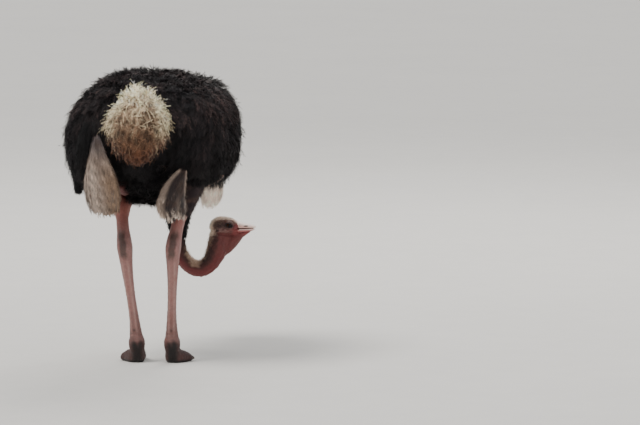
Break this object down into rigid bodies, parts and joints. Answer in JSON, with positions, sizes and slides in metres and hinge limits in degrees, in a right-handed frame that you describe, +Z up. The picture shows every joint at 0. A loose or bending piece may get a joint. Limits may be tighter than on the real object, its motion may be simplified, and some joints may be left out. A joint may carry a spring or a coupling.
{
  "type": "ostrich",
  "caption": "Life-size still model of a standing male ostrich, seen with its neck lowered in front of the chest and its head turned to its right.",
  "frame": {"origin": "On the ground, below the middle of the bird's box, between its feet.", "axes": "+X is the bird's right, +Y is where its body faces and +Z is up."},
  "size_m": [0.7719, 1.3796, 1.3144],
  "materials": {
    "black_plumage": "loose soft plumes",
    "white_plumage": "loose soft plumes",
    "tail_plumage": "loose soft plumes, stained below",
    "neck_skin": "bare skin with sparse down",
    "head_skin": "skin with short bristles",
    "leg_skin": "bare scaled skin",
    "bill_horn": "satin horn",
    "claw_horn": "worn horn",
    "eye": "wet and glossy"
  },
  "bodies": {
    "root": {"trunk": "black_plumage", "wing_left": "black_plumage", "wing_right": "black_plumage", "neck_base": "black_plumage", "wing_tip_left": "white_plumage", "wing_tip_right": "white_plumage", "flank_plume": "white_plumage", "tail": "tail_plumage", "neck_lower": "neck_skin", "neck_bend_near": "neck_skin", "neck_bend_far": "neck_skin", "neck_upper": "neck_skin", "throat": "neck_skin", "thigh_left": "leg_skin", "hock_left": "leg_skin", "shank_left": "leg_skin", "foot_left": "leg_skin", "toe_inner_left": "leg_skin", "toe_outer_left": "leg_skin", "claw_inner_left": "claw_horn", "claw_outer_left": "claw_horn", "eye_left": "eye", "ear_left": "head_skin", "thigh_right": "leg_skin", "hock_right": "leg_skin", "shank_right": "leg_skin", "foot_right": "leg_skin", "toe_inner_right": "leg_skin", "toe_outer_right": "leg_skin", "claw_inner_right": "claw_horn", "claw_outer_right": "claw_horn", "eye_right": "eye", "ear_right": "head_skin", "head": "head_skin", "bill_upper": "bill_horn", "bill_lower": "bill_horn"}
  },
  "joints": []
}
